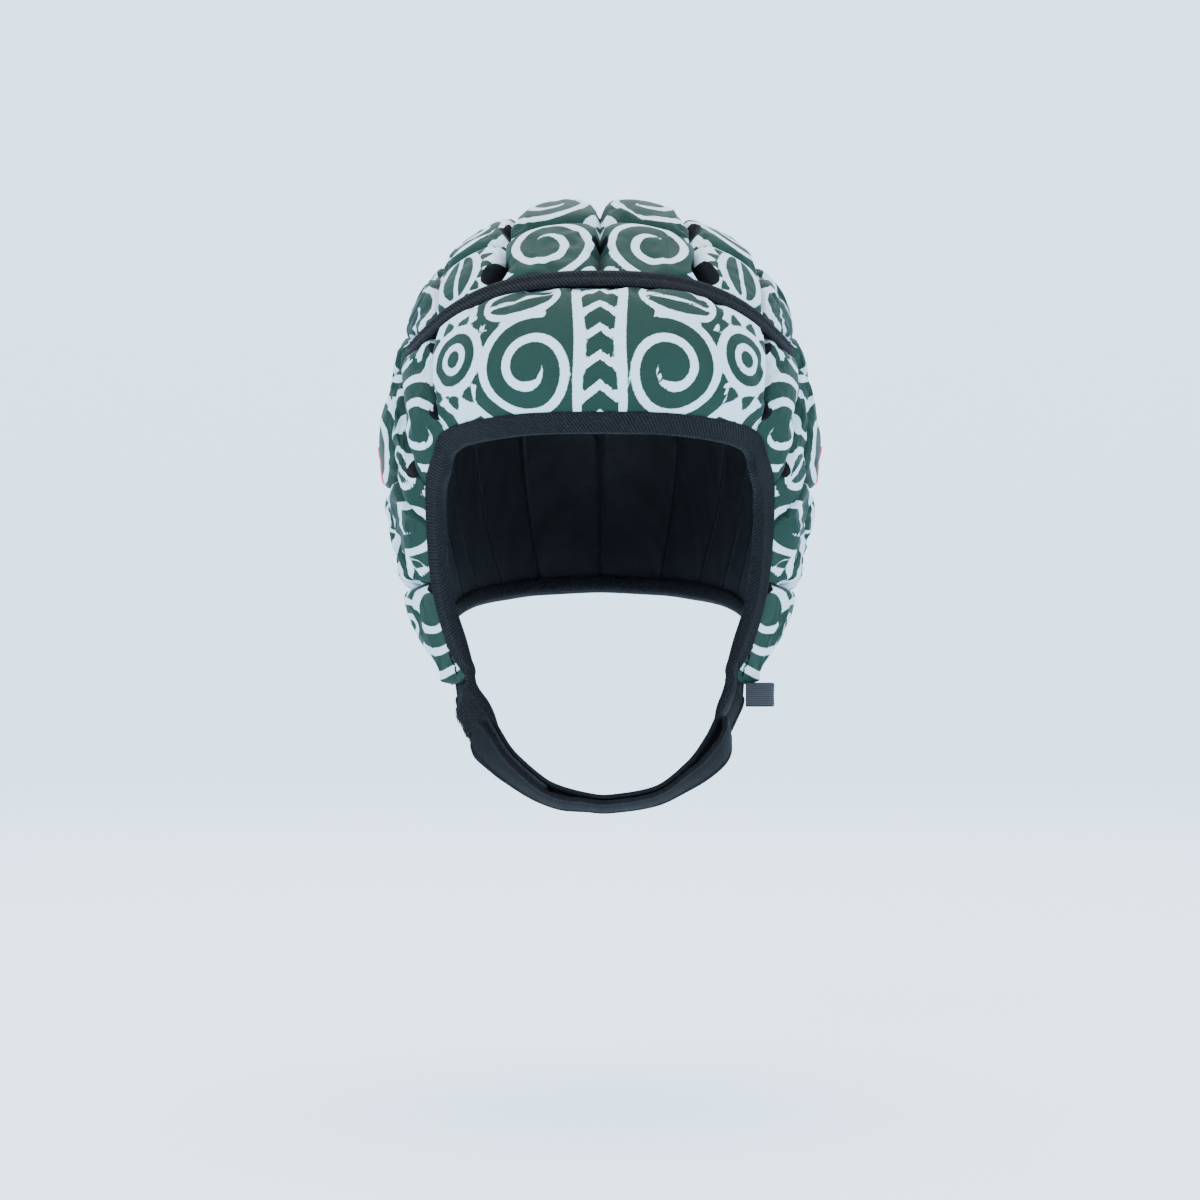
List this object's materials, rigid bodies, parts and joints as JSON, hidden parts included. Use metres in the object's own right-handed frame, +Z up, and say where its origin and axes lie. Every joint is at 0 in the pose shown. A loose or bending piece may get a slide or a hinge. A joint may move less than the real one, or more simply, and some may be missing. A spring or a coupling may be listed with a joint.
{
  "type": "rugby scrum cap",
  "caption": "Padded soft cap for contact sport: closed-cell foam pads under printed stretch fabric, vents, ear openings and a chin strap.",
  "frame": {"origin": "top of the inside of the hollow, where the crown of a head bears", "axes": "+Z up, the face opening towards -Y, the wearer's left side at +X"},
  "size_m": [0.1902, 0.2169, 0.2557],
  "materials": {
    "printed_fabric": "printed stretch knit, soft sheen",
    "lining_fabric": "matt knit",
    "binding_tape": "ribbed woven tape",
    "strap_webbing": "matt laminated strap",
    "loop_tape": "brushed loops",
    "keeper_tape": "satin tape",
    "side_patch": "flat flexible film"
  },
  "bodies": {
    "root": {"behind_ear_pad_left": "printed_fabric", "behind_ear_pad_right": "printed_fabric", "brow_band": "binding_tape", "brow_pad": "printed_fabric", "cheek_pad_left": "printed_fabric", "cheek_pad_right": "printed_fabric", "chin_strap": "strap_webbing", "crown_pad_1_left": "printed_fabric", "crown_pad_1_right": "printed_fabric", "crown_pad_2_left": "printed_fabric", "crown_pad_2_right": "printed_fabric", "crown_pad_3_left": "printed_fabric", "crown_pad_3_right": "printed_fabric", "crown_pad_4_left": "printed_fabric", "crown_pad_4_right": "printed_fabric", "crown_pad_5_left": "printed_fabric", "crown_pad_5_right": "printed_fabric", "ear_pad_left": "printed_fabric", "ear_pad_right": "printed_fabric", "face_binding": "binding_tape", "flap_pad_left": "printed_fabric", "flap_pad_right": "printed_fabric", "hem_binding": "binding_tape", "jaw_strap": "strap_webbing", "lining": "lining_fabric", "loop_tape": "loop_tape", "lower_pad_1_left": "printed_fabric", "lower_pad_1_right": "printed_fabric", "lower_pad_2_left": "printed_fabric", "lower_pad_2_right": "printed_fabric", "lower_pad_3_left": "printed_fabric", "lower_pad_3_right": "printed_fabric", "over_ear_pad_1_left": "printed_fabric", "over_ear_pad_1_right": "printed_fabric", "over_ear_pad_2_left": "printed_fabric", "over_ear_pad_2_right": "printed_fabric", "over_ear_pad_3_left": "printed_fabric", "over_ear_pad_3_right": "printed_fabric", "over_ear_pad_4_left": "printed_fabric", "over_ear_pad_4_right": "printed_fabric", "side_pad_1_left": "printed_fabric", "side_pad_1_right": "printed_fabric", "side_pad_2_left": "printed_fabric", "side_pad_2_right": "printed_fabric", "side_pad_3_left": "printed_fabric", "side_pad_3_right": "printed_fabric", "side_patch_left": "side_patch", "side_patch_right": "side_patch", "strap_keeper": "keeper_tape", "temple_pad_left": "printed_fabric", "temple_pad_right": "printed_fabric", "upper_pad_1_left": "printed_fabric", "upper_pad_1_right": "printed_fabric", "upper_pad_2_left": "printed_fabric", "upper_pad_2_right": "printed_fabric", "upper_pad_3_left": "printed_fabric", "upper_pad_3_right": "printed_fabric", "upper_pad_4_left": "printed_fabric", "upper_pad_4_right": "printed_fabric"}
  },
  "joints": []
}
